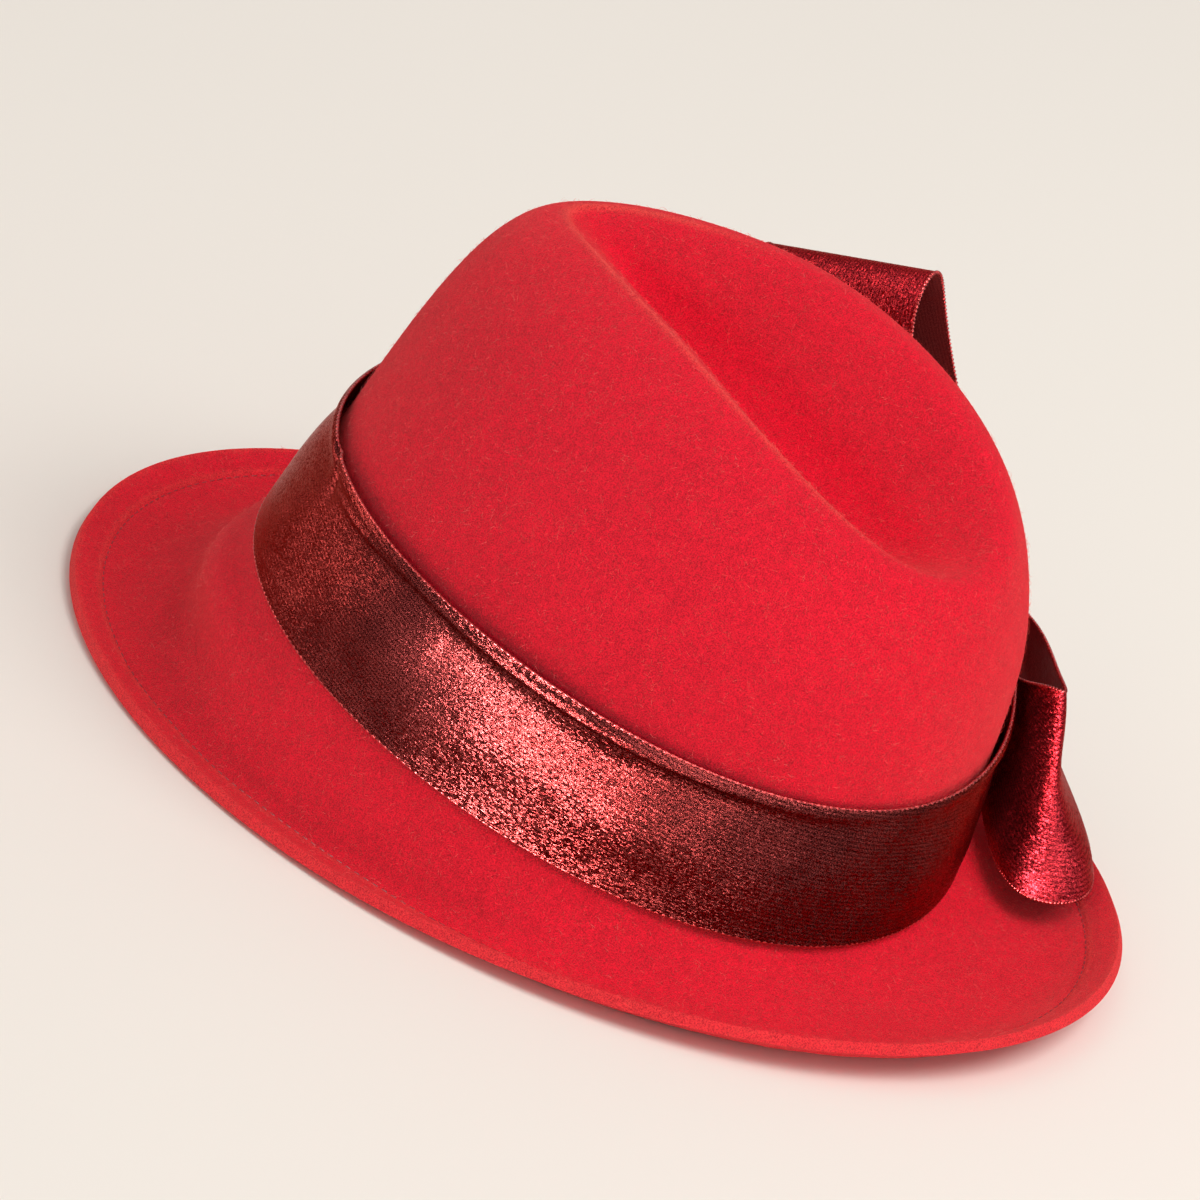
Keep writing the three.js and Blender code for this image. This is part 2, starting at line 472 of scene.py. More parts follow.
@dataclass
class Wire:
    """A shader value that takes part in Python arithmetic."""

    book: "NodeBook"
    socket: bpy.types.NodeSocket

    def math(self, operation: str, *others: "Wire | float") -> "Wire":
        """Return the result of a Math node whose first value is this one."""
        inputs = dict(enumerate((self, *others)))
        return self.book.node("ShaderNodeMath", {"operation": operation}, inputs)

    def __add__(self, other: "Wire | float") -> "Wire":
        """Add."""
        return self.math("ADD", other)

    def __mul__(self, other: "Wire | float") -> "Wire":
        """Multiply."""
        return self.math("MULTIPLY", other)

    def __sub__(self, other: "Wire | float") -> "Wire":
        """Subtract."""
        return self.math("SUBTRACT", other)

    __radd__ = __add__

    def rise(self, low: float, high: float) -> "Wire":
        """Map low to 0 and high to 1 with soft ends."""
        settings = {"interpolation_type": "SMOOTHSTEP"}
        inputs = {0: self, 1: low, 2: high, 3: 0.0, 4: 1.0}
        return self.book.node("ShaderNodeMapRange", settings, inputs)


@dataclass
class NodeBook:
    """The node tree of one material."""

    material: bpy.types.Material

    @classmethod
    def new(cls, name: str) -> "NodeBook":
        """Start an empty material."""
        material = bpy.data.materials.new(name)
        material.use_nodes = True
        material.node_tree.nodes.clear()
        return cls(material)

    def node(
        self,
        kind: str,
        settings: Mapping[str, object] | None = None,
        inputs: Mapping[int | str, object] | None = None,
        output: int | str = 0,
    ) -> Wire:
        """Add a node.

        Args:
            kind: The node's type.
            settings: Its properties, set first.
            inputs: Values or wires for its sockets, by index or name.
            output: Which of its outputs is returned.

        Returns:
            The chosen output.
        """
        made = self.material.node_tree.nodes.new(kind)
        for key, value in (settings or {}).items():
            setattr(made, key, value)
        for key, value in (inputs or {}).items():
            socket = made.inputs[key]
            if isinstance(value, Wire):
                self.material.node_tree.links.new(value.socket, socket)
            elif isinstance(value, tuple) and len(value) == 3 and socket.type == "RGBA":
                socket.default_value = (*value, 1.0)
            else:
                socket.default_value = value
        return Wire(self, made.outputs[output] if len(made.outputs) else None)

    def place(self) -> Wire:
        """Return Object coordinates, which are metres in the hat's frame."""
        return self.node("ShaderNodeTexCoord", output="Object")

    def cloth(self) -> Wire:
        """Return the ribbon's own flat coordinates in metres."""
        return self.node("ShaderNodeUVMap", {"uv_map": "cloth"})

    def mask(self, title: str) -> Wire:
        """Return a value kept on the mesh."""
        return self.node("ShaderNodeAttribute", {"attribute_name": title}, output="Fac")

    def noise(
        self,
        where: Wire,
        scale: float,
        detail: float = 2.0,
        roughness: float = 0.5,
        distortion: float = 0.0,
    ) -> Wire:
        """Return cloudy values from 0 to 1.

        Args:
            where: Coordinates.
            scale: Features per metre.
            detail: How many finer layers are added.
            roughness: How strong the finer layers are.
            distortion: How much the pattern is stirred.

        Returns:
            The value.
        """
        shape = {"Scale": scale, "Detail": detail, "Roughness": roughness, "Distortion": distortion}
        return self.node("ShaderNodeTexNoise", inputs={"Vector": where, **shape})

    def mix(self, amount: Wire, first: Wire | Colour, second: Wire | Colour) -> Wire:
        """Mix two colours.

        Args:
            amount: 0 for the first, 1 for the second.
            first: The first colour.
            second: The second colour.

        Returns:
            The colour.
        """
        settings = {"data_type": "RGBA", "clamp_factor": True}
        return self.node("ShaderNodeMix", settings, {0: amount, 6: first, 7: second}, output=2)

    def cells(self, where: Wire) -> Wire:
        """Return one random colour for each cell of a loose mosaic, one unit across."""
        settings = {"voronoi_dimensions": "2D", "feature": "F1"}
        inputs = {"Vector": where, "Scale": 1.0}
        return self.node("ShaderNodeTexVoronoi", settings, inputs, "Color")

    def vector(self, operation: str, *values: Wire | Colour) -> Wire:
        """Add a Vector Math node."""
        inputs = dict(enumerate(values))
        return self.node("ShaderNodeVectorMath", {"operation": operation}, inputs)

    def tilted(self, cells: Wire, lean: Colour, spread: Colour) -> Wire:
        """Turn the surface normal by a random amount in each cell.

        Args:
            cells: One random colour for each cell.
            lean: How far all the normals turn, along each axis.
            spread: How far a cell's normal may stray from that, along each axis.

        Returns:
            The normal.
        """
        middle = tuple(a - 0.5 * b for a, b in zip(lean, spread))
        away = self.vector("MULTIPLY_ADD", cells, spread, middle)
        plain = self.node("ShaderNodeNewGeometry", output="Normal")
        return self.vector("NORMALIZE", self.vector("ADD", plain, away))

    def bump(
        self, height: Wire, distance: float, strength: float, under: Wire | None = None
    ) -> Wire:
        """Return a normal from a height.

        Args:
            height: The height, from 0 to 1.
            distance: What a height of 1 stands for, in metres.
            strength: How much of it is used.
            under: A coarser normal that this one lies on.

        Returns:
            The normal.
        """
        inputs = {"Height": height, "Distance": distance, "Strength": strength}
        below = {} if under is None else {"Normal": under}
        return self.node("ShaderNodeBump", inputs={**inputs, **below})

    def finish(
        self, constants: Mapping[str, object], wires: Mapping[str, Wire]
    ) -> bpy.types.Material:
        """Close the tree with a Principled shader.

        Args:
            constants: Values that are the same all over.
            wires: Values that change over the surface.

        Returns:
            The finished material.
        """
        shader = self.node("ShaderNodeBsdfPrincipled", inputs={**constants, **wires})
        self.node("ShaderNodeOutputMaterial", inputs={"Surface": shader})
        return self.material


@dataclass(frozen=True)
class FeltFinish:
    """Brushed wool felt: matte, mottled, with a short light nap, and painted highlights along the
    brim's edge, beside the stitch line and along the crest.
    """

    name: str = "brushed_wool_felt"
    deep: Colour = (0.50, 0.0055, 0.019)
    body: Colour = (1.0, 0.011, 0.038)
    # nap: the pale red of the sparse curls and of the painted highlight.
    nap: Colour = (1.0, 0.11, 0.085)
    sheen: float = 0.75
    sheen_roughness: float = 0.3
    sheen_tint: Colour = (1.0, 0.17, 0.15)
    specular: float = 0.06
    roughness: float = 0.88
    cloud_scale: float = 26.0
    patch_scale: float = 150.0
    tuft_scale: float = 420.0
    fibre_scale: float = 520.0
    grain_scale: float = 2700.0
    tone_shares: tuple[float, float, float] = (0.12, 0.16, 0.72)
    most_fibre_and_highlight: float = 0.85
    coarse_relief: float = 0.7 * MM
    fine_relief: float = 0.6 * MM

    def material(self) -> bpy.types.Material:
        """Return the felt's material."""
        book = NodeBook.new(self.name)
        where = book.place()
        clouds = book.noise(where, self.cloud_scale, 3.0, 0.6)
        tufts = book.noise(where, self.tuft_scale, 3.0, 0.65)
        grain = book.noise(where, self.grain_scale, 2.0, 0.75)
        strands = book.noise(where, self.fibre_scale, 2.0, 0.55, distortion=1.6)
        curls = (strands - 0.5).math("ABSOLUTE").rise(0.022, 0.0)
        sparse = book.noise(where, self.patch_scale).rise(0.52, 0.66)
        by_clouds, by_tufts, by_grain = self.tone_shares
        tone = (
            clouds.rise(0.3, 0.7) * by_clouds
            + tufts.rise(0.35, 0.65) * by_tufts
            + grain.rise(0.36, 0.56) * by_grain
        )
        base = book.mix(tone, self.deep, self.body)
        # Painted highlight: the felt turns toward the pale nap colour along the mask kept on the
        # mesh (brim edge, beside the stitch line, crest). Sparse pale curls are added to it.
        highlight_share = book.mask("painted_highlight") * (grain.rise(0.35, 0.65) * 0.75 + 0.1)
        fibres_and_highlight = (curls * sparse * 0.4 + highlight_share).math("MINIMUM", self.most_fibre_and_highlight)
        colour = book.mix(fibres_and_highlight, base, self.nap)
        coarse = book.bump(tufts * 0.7 + clouds * 0.3, self.coarse_relief, 0.5)
        fine = book.bump(grain * 0.7 + curls * 0.3, self.fine_relief, 0.8, coarse)
        constants = {
            "Sheen Weight": self.sheen,
            "Sheen Roughness": self.sheen_roughness,
            "Sheen Tint": self.sheen_tint,
            "Specular IOR Level": self.specular,
        }
        rough = self.roughness + tufts * 0.1
        return book.finish(constants, {"Base Color": colour, "Roughness": rough, "Normal": fine})


@dataclass(frozen=True)
class SatinFinish:
    """Lustrous satin ribbon whose floats glint one by one."""

    name: str
    deep: Colour
    thread: Colour
    lean: Colour = (0.0, 0.0, 0.12)
    spread: Colour = (0.13, 0.13, 0.8)
    metallic: float = 1.0
    roughness: float = 0.26
    float_length: float = 0.62 * MM
    float_width: float = 0.34 * MM
    edge_tint: Colour = (1.0, 0.45, 0.42)
    slant: float = 0.2
    ribs: float = 1.9
    relief: float = 0.06 * MM
    specular: float = 0.5
    rib_depth: float = 0.035
    cloud_scale: float = 70.0

    def material(self) -> bpy.types.Material:
        """Return the ribbon's material."""
        book = NodeBook.new(self.name)
        floats = (1 / self.float_length, 1 / self.float_width, 1.0)
        turned = {"Rotation": (0.0, 0.0, self.slant), "Scale": floats}
        cloth = book.node("ShaderNodeMapping", inputs={"Vector": book.cloth(), **turned})
        cells = book.cells(cloth)
        gaps = book.noise(cloth, 1.7, 1.0, 0.7)
        clouds = book.noise(book.place(), self.cloud_scale)
        rib = book.node("ShaderNodeSeparateXYZ", inputs={"Vector": cloth}, output=1)
        lines = (rib * self.ribs).math("SINE") * self.rib_depth
        tone = (gaps + lines).rise(0.49, 0.57) * (0.75 + clouds.rise(0.35, 0.65) * 0.25)
        colour = book.mix(tone, self.deep, self.thread)
        rough = self.roughness + (gaps - 0.5) * 0.3 + (clouds - 0.5) * 0.15
        facets = book.tilted(cells, self.lean, self.spread)
        normal = book.bump(gaps, self.relief, 1.0, facets)
        constants = {
            "Specular IOR Level": self.specular,
            "Specular Tint": self.edge_tint,
            "Metallic": self.metallic,
        }
        return book.finish(constants, {"Base Color": colour, "Roughness": rough, "Normal": normal})


@dataclass(frozen=True)
class ThreadFinish:
    """Plain sewing thread."""

    name: str
    colour: Colour
    shade: Colour
    roughness: float = 0.55
    metallic: float = 0.0
    specular: float = 0.4
    ply_scale: float = 2400.0
    relief: float = 0.1 * MM

    def material(self) -> bpy.types.Material:
        """Return the thread's material."""
        book = NodeBook.new(self.name)
        ply = book.noise(book.place(), self.ply_scale, 2.0, 0.6)
        colour = book.mix(ply.rise(0.3, 0.7), self.shade, self.colour)
        constants = {
            "Roughness": self.roughness,
            "Specular IOR Level": self.specular,
            "Metallic": self.metallic,
        }
        normal = book.bump(ply, self.relief, 0.6)
        return book.finish(constants, {"Base Color": colour, "Normal": normal})


@dataclass(frozen=True)
class FloorFinish:
    """Matte pale paint of the floor."""

    name: str = "pale_floor"
    colour: Colour = (0.86, 0.82, 0.77)
    cloud_scale: float = 3.0
    cloud_shade: float = 0.96
    roughness: float = 0.7
    specular: float = 0.2

    def material(self) -> bpy.types.Material:
        """Return the floor's material."""
        book = NodeBook.new(self.name)
        clouds = book.noise(book.place(), self.cloud_scale)
        darker = tuple(c * self.cloud_shade for c in self.colour)
        colour = book.mix(clouds * 0.25, self.colour, darker)
        constants = {"Roughness": self.roughness, "Specular IOR Level": self.specular}
        return book.finish(constants, {"Base Color": colour})


def dress(piece: Piece, slot: Slot, *materials: bpy.types.Material) -> None:
    """Give a piece its finishes and its body.

    Args:
        piece: The finished piece.
        slot: The record's slot; not used.
        materials: One for each material index.
    """
    slots = piece.data.materials
    for index, material in enumerate(materials):
        if index == len(slots):
            slots.append(material)
        slots[index] = material
    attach(piece, "root")
    mesh = piece.data
    log.info("%s: %d vertices, %d faces", piece.name, len(mesh.vertices), len(mesh.polygons))


@dataclass
class FeltBody:
    """The pressed felt: brim, crown and tear-shaped dent, with its hem stitches and nap."""

    hoops: Hoops = Hoops(
        (
            (115, 150, 150, 6.0, 4.0, 12.0, 0, 0),
            (110.5, 141.5, 142.5, 2.6, 2.0, 5.6, 0, 0),
            (107, 133.5, 134.5, 1.6, 1.6, 1.4, 0, 0),
            (103, 124.5, 123.5, 1.4, 2.6, 1.0, 0, 0),
            (97, 111.5, 110.5, 15, 14, 1.6, 0, 0),
            (91.5, 100, 100, 33.5, 24.5, 4.5, 0, 0),
            (88.6, 97.3, 97.8, 36, 27.5, 6.5, 0, 0),
            (88, 91.5, 98, 48, 39, 17, 0, 0),
            (86, 83, 98.7, 76, 66, 43, 0, 0),
            (78, 77.5, 100, 98, 90, 68, 0.05, 0.05),
            (66, 72, 97, 115, 111, 88, 0.07, 0.08),
            (51, 65, 94, 127, 127, 99, 0.12, 0.05),
            (36.5, 54.5, 90, 135, 136, 106, 0.27, 0),
            (24, 38.5, 73.5, 128, 126, 99, 0.3, 0),
            (12, 22.5, 51.5, 117, 112.5, 94, 0.3, 0),
            (3, 2.5, 21.5, 111.5, 108.5, 104.5, 0, 0),
        )
    )
    columns: int = 256
    steps: tuple[tuple[float, int], ...] = (
        (0, 30), (2, 20), (6, 8), (8, 24), (11, 26), (13, 16), (15, 1),
    )
    cap: tuple[float, ...] = (0.7, 0.4, 0.15, 0.0)
    thickness: float = 2.9 * MM
    plain_share: float = 0.69
    lip: float = 1.32 * MM
    hem: float = 9.3 * MM
    hem_swell: float = 0.35 * MM
    groove: float = 0.4 * MM
    sway: float = 0.22 * MM
    crease_station: float = 12.05
    ridge: float = 0.95 * MM
    dents: tuple[Dent, ...] = (
        Dent(-3.4 * MM, 3.5, 0.45, -57, 24),
        Dent(3.8 * MM, 4.42, 0.34, -50, 18),
    )
    stitch_pitch: float = 2.9 * MM
    stitch_length: float = 2.2 * MM
    stitch_radius: float = 0.17 * MM
    brim_rows: int = 40
    fibres: int = 19500
    seed: int = 7
    finish: FeltFinish = FeltFinish()
    thread: ThreadFinish = ThreadFinish("hem_thread", (0.5, 0.008, 0.02), (0.26, 0.004, 0.012))
    # The loose fibres are real geometry; their paler red than the felt is painted sheen of the lit
    # fuzz.
    fibre: ThreadFinish = ThreadFinish("loose_fibres", (1.0, 0.14, 0.11), (0.9, 0.04, 0.05), 0.8)

    points: Array = field(init=False, repr=False)
    normals: Array = field(init=False, repr=False)
    masks: dict[str, Array] = field(init=False, repr=False)

    def stations(self) -> Array:
        """Return the rows of the mesh, closer together where the felt is worked."""
        parts = []
        for (start, count), (end, _) in zip(self.steps, self.steps[1:]):
            parts.append(np.linspace(start, end, count, endpoint=False))
        parts.append(np.array([float(self.steps[-1][0])]))
        return np.concatenate(parts)

    def lay_out(self) -> None:
        """Work out the outer face, with its hem, its crease and the small unevenness of felt."""
        stations = self.stations()
        angles = np.linspace(0, FULL_TURN, self.columns + 1)
        points = self.hoops.points(stations, angles)
        middle = points[-1, :-1].mean(axis=0)
        ends = [middle + (points[-1] - middle) * share for share in self.cap]
        points = np.concatenate([points, np.array(ends)])
        stations = np.concatenate([stations, np.full(len(ends), stations[-1])])
        normals = grid_normals(points, closed=True)
        normals[-1] = normals[-3].mean(axis=0) / np.linalg.norm(normals[-3].mean(axis=0))
        run = run_lengths(points, axis=0)
        v = stations[:, None]
        a = angles[None, :]
        x, y, z = (points[..., k] for k in range(3))
        sway = np.sin(70 * x + 41 * y + 1.3) * np.sin(55 * y - 63 * z + 0.4)
        sway = sway + 0.6 * np.sin(128 * x - 97 * z + 2.1) * np.sin(113 * y + 89 * x)
        soft = self.sway * sway * smooth_step(0.3, 2.0, v) * smooth_step(15.0, 14.0, v)
        fold = bump_at(run, self.hem * 0.5, self.hem * 0.42) * self.hem_swell
        stitched = -self.groove * bump_at(run, self.hem, 0.8 * MM)
        near_side = 0.25 + 0.75 * smooth_step(-0.3, 0.5, np.cos(a + 0.5))
        ridge = self.ridge * bump_at(v, self.crease_station, 0.13) * near_side
        dents = sum(dent.at(v, a) for dent in self.dents)
        lift = soft + fold + stitched + ridge + dents
        self.points = points + normals * lift[..., None]
        self.points[:, -1] = self.points[:, 0]
        self.normals = grid_normals(self.points, closed=True)
        self.normals[-1] = normals[-1]
        # Painted highlight: a mask that makes the felt paler in three places, where light catches
        # it. These are within about 2 mm of the brim's edge, beside the stitch line on its edge
        # side, and along the crown's crest on the near side. build_nap also grows more fibres
        # there.
        edge = 1 - smooth_step(0.0, 2.2 * MM, run)
        beside = bump_at(run, self.hem - 1.4 * MM, 0.9 * MM) * 0.5
        line = bump_at(v, self.crease_station + 0.03, 0.11)
        line = line * smooth_step(-0.55, 0.2, np.cos(a + 0.75))
        self.masks = {
            "painted_highlight": np.clip(edge * 0.45 + beside * 0.8 + line * 1.1, 0, 1),
            "thick": 1 - smooth_step(self.hem * 0.8, self.hem * 1.15, run),
        }

    def build_felt(self) -> None:
        """Model the felt wall, in place of its plain solid."""
        around = run_lengths(self.points, axis=1)
        up = run_lengths(self.points, axis=0)
        piece = grid_piece("felt_shell", self.points, np.stack([around, up], -1), self.masks)
        group = piece.vertex_groups.new(name="thick")
        values = np.empty(len(piece.data.vertices))
        piece.data.attributes["thick"].data.foreach_get("value", values)
        for index, weight in enumerate(values):
            if weight > 0.001:
                group.add([index], float(weight), "REPLACE")
        share = {"vertex_group": "thick", "thickness_vertex_group": self.plain_share}
        thicken(piece, self.thickness, **share)
        sharp = {"limit_method": "ANGLE", "angle_limit": math.radians(60)}
        add_modifier(piece, "BEVEL", width=self.lip, segments=4, **sharp)
        keep_above_floor(piece)
        smooth(piece, 60)
        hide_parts("felt_body")
        dress(piece, Slot.FELT, self.finish.material())

    def ring_at(self, distance: float) -> tuple[Array, Array]:
        """Return the line round the brim at a distance from its edge, and its normals.

        Args:
            distance: In metres.

        Returns:
            Two arrays of N by 3.
        """
        run = run_lengths(self.points, axis=0)
        line, normals = [], []
        for column in range(self.columns):
            rows = np.arange(self.brim_rows)
            place = np.interp(distance, run[: self.brim_rows, column], rows)
            low = int(place)
            share = place - low
            near, far = self.points[low, column], self.points[low + 1, column]
            line.append(near * (1 - share) + far * share)
            normals.append(self.normals[low, column])
        return np.array(line), np.array(normals)

    def stitch(self) -> Piece:
        """Return one stitch along Z, with ends that narrow and dip into the felt."""
        size = {"radius": self.stitch_radius, "depth": self.stitch_length * 0.6}
        add = bpy.ops.mesh.primitive_cylinder_add
        unit = primitive(add, "stitch", vertices=7, end_fill_type="NGON", **size)
        bpy.ops.object.mode_set(mode="EDIT")
        bpy.ops.mesh.select_mode(type="FACE")
        for sign in (1, -1):
            bpy.ops.mesh.select_all(action="DESELECT")
            bpy.ops.object.mode_set(mode="OBJECT")
            for polygon in unit.data.polygons:
                polygon.select = polygon.normal.z * sign > 0.9
            bpy.ops.object.mode_set(mode="EDIT")
            reach = (0, 0, sign * self.stitch_length * 0.2)
            bpy.ops.mesh.extrude_region_move(TRANSFORM_OT_translate={"value": reach})
            bpy.ops.transform.resize(value=(0.45, 0.45, 1.0))
            bpy.ops.transform.translate(value=(-0.3 * MM, 0, 0))
        bpy.ops.object.mode_set(mode="OBJECT")
        return unit

    def build_stitches(self) -> None:
        """Sew the row of stitches round the brim."""
        line, normals = self.ring_at(self.hem)
        closed = np.vstack([line, line[:1]])
        run = run_lengths(closed[None], axis=1)[0]
        count = int(round(run[-1] / self.stitch_pitch))
        places = []
        for k in range(count):
            at = (k + 0.5) / count * run[-1]
            step = np.interp(at, run, np.arange(len(run)))
            low = int(step) % self.columns
            high = (low + 1) % self.columns
            share = step - int(step)
            point = line[low] * (1 - share) + line[high] * share
            ahead = Vector(line[high] - line[low]).normalized()
            out = Vector(normals[low])
            out = (out - ahead * out.dot(ahead)).normalized()
            turn = Matrix((out, ahead.cross(out), ahead)).transposed().to_4x4()
            turn.translation = Vector(point) + out * (self.stitch_radius * 0.25)
            places.append(turn)
        piece = copies_of("hem_stitches", self.stitch(), places)
        smooth(piece, 60)
        dress(piece, Slot.FELT, self.thread.material())

    def build_nap(self) -> None:
        """Raise loose fibres from the felt, one closed sliver each."""
        rng = np.random.default_rng(self.seed)
        rows, columns = self.points.shape[:2]
        corner = self.points[:-1, :-1]
        sides = self.points[1:, :-1] - corner, self.points[:-1, 1:] - corner
        cell = np.linalg.norm(np.cross(*sides), axis=-1)
        # More fibres stand where the felt's highlight is painted.
        chance = cell * (1 + 3 * self.masks["painted_highlight"][:-1, :-1])
        chance = (chance / chance.sum()).ravel()
        pick = rng.choice(len(chance), size=self.fibres, p=chance)
        row, column = pick // (columns - 1), pick % (columns - 1)
        s, t = rng.random((2, self.fibres, 1))
        root = (
            self.points[row, column] * (1 - s) * (1 - t)
            + self.points[row + 1, column] * s * (1 - t)
            + self.points[row, column + 1] * (1 - s) * t
            + self.points[row + 1, column + 1] * s * t
        )
        out = self.normals[row, column]
        loose = rng.normal(size=(self.fibres, 3))
        flat = loose - out * np.sum(loose * out, axis=1, keepdims=True)
        flat /= np.linalg.norm(flat, axis=1, keepdims=True)
        length = (0.6 + 1.7 * rng.random((self.fibres, 1)) ** 2) * MM
        rise = 0.25 + 0.6 * rng.random((self.fibres, 1)) ** 2
        bend = rng.normal(scale=0.5, size=(self.fibres, 1))
        aside = np.cross(out, flat)
        middle = root + (flat + out * rise) * length * 0.5
        tip = middle + (flat + aside * bend + out * rise * 0.3) * length * 0.5
        width = (0.026 + 0.022 * rng.random((self.fibres, 1))) * MM
        ring = ring_round(3, aside, out)
        base = (root - out * 0.05 * MM)[:, None] + ring * width[:, None]
        waist = middle[:, None] + ring * width[:, None] * 0.8
        points = np.concatenate([base, waist, tip[:, None]], axis=1)
        points[..., 2] = np.maximum(points[..., 2], 0.0)
        stem = [(0, 2, 1), (0, 1, 4, 3), (1, 2, 5, 4), (2, 0, 3, 5)]
        shape = stem + [(3, 4, 6), (4, 5, 6), (5, 3, 6)]
        count = points.shape[1]
        faces = [[v + count * k for v in f] for k in range(self.fibres) for f in shape]
        piece = mesh_piece("felt_nap", points.reshape(-1, 3), faces)
        edit_whole(piece, bpy.ops.mesh.normals_make_consistent, inside=False)
        dress(piece, Slot.FELT, self.fibre.material())

    def build(self) -> None:
        """Build the felt, its stitches and its nap."""
        self.lay_out()
        self.build_felt()
        self.build_stitches()
        self.build_nap()


BAND_SATIN = SatinFinish("band_satin", deep=(0.018, 0.0015, 0.002), thread=(0.26, 0.042, 0.040))
BOW_SATIN = SatinFinish(
    "bow_satin",
    deep=(0.07, 0.003, 0.006),
    thread=(0.62, 0.04, 0.055),
    lean=(0.0, 0.0, 0.16),
    spread=(0.5, 0.5, 0.9),
    roughness=0.38,
    float_length=0.6 * MM,
    relief=0.05 * MM,
)
BOW_BACK = SatinFinish(
    "bow_satin_back",
    deep=(0.15, 0.018, 0.02),
    thread=(0.42, 0.07, 0.07),
    spread=(0.2, 0.2, 0.2),
    lean=(0.0, 0.0, 0.0),
    metallic=0.1,
    roughness=0.62,
    relief=0.05 * MM,
    specular=0.3,
)
SELVAGE = ThreadFinish("selvage_thread", (0.8, 0.11, 0.11), (0.14, 0.008, 0.012), 0.3, 0.8)


@dataclass(frozen=True)
class Edging:
    """Thread that whips the edge of a ribbon."""

    radius: float
    whip: float
    slot: Slot
    finish: ThreadFinish = SELVAGE

    def run(
        self, name: str, path: Array, marks: Array, places: Array, closed: bool
    ) -> Piece:
        """Run the thread along an edge.

        Args:
            name: The piece's name.
            path: Points along the edge, N by 3.
            marks: How far along each point lies.
            places: Where the thread's own points lie, in the same measure.
            closed: Whether the edge meets itself.

        Returns:
            The thread.
        """
        dense = np.stack([np.interp(places, marks, path[:, k]) for k in range(3)], -1)
        radius = self.radius * (1 + self.whip * np.sin(np.arange(len(dense)) / 2 * math.pi))
        piece = tube_along(name, dense, radius, 6, closed)
        smooth(piece, 80)
        dress(piece, self.slot, self.finish.material())
        return piece


@dataclass
class RibbonBand:
    """The wide satin ribbon round the crown's foot."""

    hoops: Hoops = Hoops(
        (
            (91.4, 100.2, 100.3, 36.2, 27.2, 7.6, 0, 0),
            (91.1, 98, 100.6, 45, 37.5, 17, 0, 0),
            (90.6, 93, 101, 55.5, 49, 27.5, 0, 0),
            (89.8, 88, 101.2, 65.5, 60, 38, 0, 0),
            (88.6, 85.8, 100.8, 70.5, 64.6, 42.8, 0, 0),
            (90.2, 86.8, 101.9, 73.2, 67.2, 45.8, 0, 0),
            (88.9, 85.4, 101, 74.6, 68.9, 47.4, 0, 0),
        )
    )
    columns: int = 400
    rows: int = 72
    thickness: float = 0.7 * MM
    slack: tuple[float, float] = (0.4 * MM, 0.3 * MM)
    swell: Dent = Dent(2.3 * MM, 1.75, 0.9, 28, 48)
    roll: Dent = Dent(1.4 * MM, 4.75, 0.5, 27, 30)
    groove: Dent = Dent(-1.6 * MM, 0, 0.6, 27, 30)
    streak: Dent = Dent(0.8 * MM, 4.1, 0.3, -27, 12)
    tuck_depth: float = 1.5 * MM
    tuck_angle: float = 316
    finish: SatinFinish = BAND_SATIN
    edging: Edging = Edging(0.42 * MM, 0.22, Slot.BAND)

    def surface(self) -> Array:
        """Return the outer face, with its crease, tucks and slack."""
        stations = np.linspace(0, len(self.hoops.rows) - 1, self.rows)
        angles = np.linspace(0, FULL_TURN, self.columns + 1)
        points = self.hoops.points(stations, angles)
        normals = grid_normals(points, closed=True)
        v = stations[:, None]
        a = angles[None, :]
        body = smooth_step(0.0, 1.2, v) * smooth_step(5.0, 3.6, v)
        degrees = np.degrees(a)
        wide, narrow = self.slack
        slack = wide * np.sin(7 * a + 0.9 * v + 0.6) * body
        slack = slack + narrow * np.sin(13 * a - 1.6 * v + 2.0) * body
        middle = 3.4 - 0.35 * angle_bump(a, 26, 18) + 0.4 * smooth_step(35, 60, degrees)
        crease = self.roll.at(v, a) + self.groove.at(v - middle, a)
        course = degrees - self.tuck_angle - 2.5 * (6 - v)
        tuck = -self.tuck_depth * bump_at(course, 0.0, 1.8) * smooth_step(2.4, 4.6, v)
        streak = self.streak.at(v - 0.02 * (degrees - 333), a)
        lift = slack + self.swell.at(v, a) + crease + tuck + streak
        points = points + normals * lift[..., None]
        points[:, -1] = points[:, 0]
        return points

    def build(self) -> None:
        """Model the ribbon and the thread along its two edges."""
        points = self.surface()
        around = run_lengths(points, axis=1).mean(axis=0)[None, :].repeat(self.rows, axis=0)
        up = run_lengths(points, axis=0)
        piece = grid_piece("band_ribbon_wrap", points, np.stack([around, up], -1))
        thicken(piece, self.thickness)
        smooth(piece, 50)
        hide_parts("ribbon_band")
        dress(piece, Slot.BAND, self.finish.material())
        normals = grid_normals(points, closed=True)
        for name, row in (("band_selvage_low", 0), ("band_selvage_top", -1)):
            path = (points[row] - normals[row] * (self.thickness / 2))[:-1]
            path = np.vstack([path, path[:1]])
            places = np.arange(self.columns * 3) / 3
            marks = np.arange(self.columns + 1)
            self.edging.run(name, path, marks, places, closed=True)


@dataclass(frozen=True)
class KnotForm:
    """The size and place of the knot's pillow, in millimetres."""

    centre: tuple[float, float, float] = (-96.4, 27.0, 45.0)
    half: tuple[float, float, float] = (8.2, 12.0, 17.0)
    turn: float = -16.0
    squareness: float = 0.62

    def inside(self, points: Array, grow: float) -> Array:
        """Say which points lie in the pillow.

        Args:
            points: Any number of points, in metres.
            grow: How much larger the pillow is taken all round, in millimetres.

        Returns:
            True for each point inside.
        """
        local = points / MM - np.array(self.centre)
        c, s = math.cos(math.radians(-self.turn)), math.sin(math.radians(-self.turn))
        x = c * local[..., 0] - s * local[..., 1]
        y = s * local[..., 0] + c * local[..., 1]
        power = 2 / self.squareness
        total = sum(
            np.abs(value / (half + grow)) ** power
            for value, half in zip((x, y, local[..., 2]), self.half)
        )
        return total < 1


